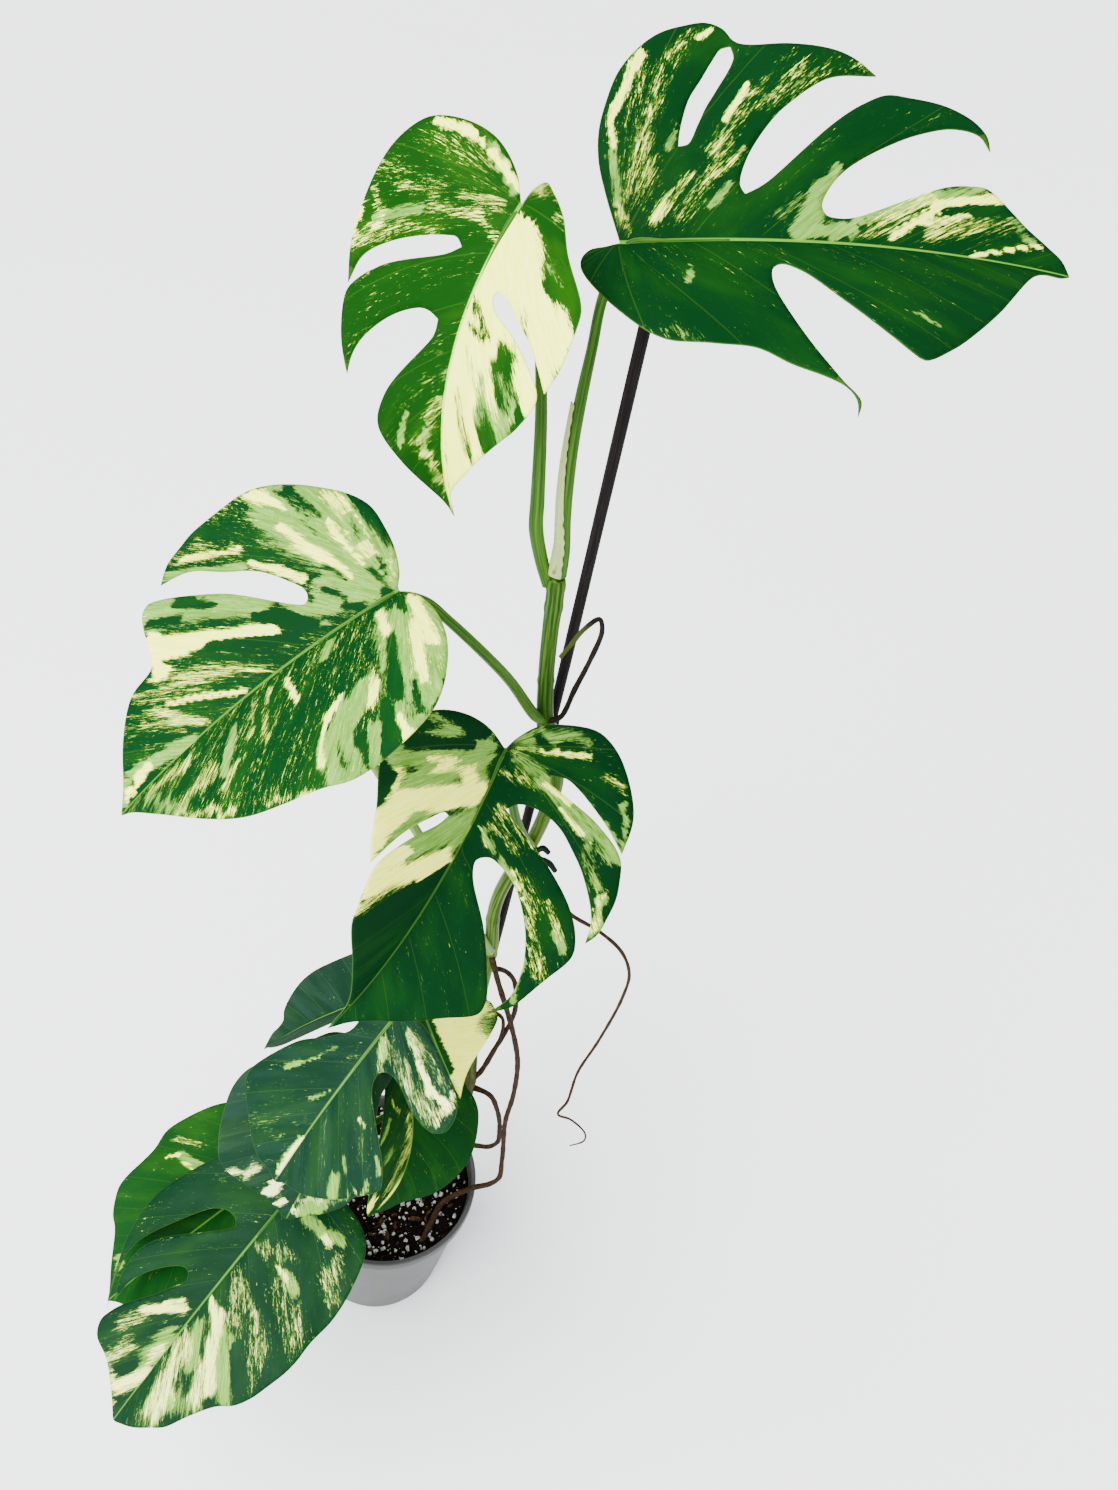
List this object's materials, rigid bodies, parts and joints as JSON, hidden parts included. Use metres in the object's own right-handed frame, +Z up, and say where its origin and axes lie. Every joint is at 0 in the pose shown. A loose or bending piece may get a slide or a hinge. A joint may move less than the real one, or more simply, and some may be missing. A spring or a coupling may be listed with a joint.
{
  "type": "potted albo variegata monstera",
  "caption": "Potted climbing aroid with split, cream and green marbled leaves, tied to a thin stake in a round nursery pot.",
  "frame": {"origin": "centre of the pot's underside", "axes": "+Z up, +X to the viewer's right, +Y away from the viewer"},
  "size_m": [0.4628, 0.3489, 1.0953],
  "materials": {
    "plastic": "satin grey",
    "soil": "rough dark potting mix",
    "stake": "dark brown, fine grain",
    "stem": "smooth green skin",
    "tie": "dark green-black",
    "sheath": "papery cream",
    "root": "brown bark",
    "leaf": "satin green marbled with cream"
  },
  "bodies": {
    "root": {"pot": "plastic", "soil": "soil", "stake": "stake", "stem": "stem", "tie_upper": "tie", "tie_lower": "tie", "sheath": "sheath", "petiole_stub": "stem", "root_a": "root", "root_b": "root", "root_d": "root", "root_e": "root", "root_f": "root", "leaf_01": "leaf", "leaf_02": "leaf", "leaf_03": "leaf", "leaf_04": "leaf", "leaf_05": "leaf", "leaf_06": "leaf", "leaf_07": "leaf", "leaf_08": "leaf", "leaf_09": "leaf", "leaf_10": "leaf", "leaf_11": "leaf"}
  },
  "joints": []
}
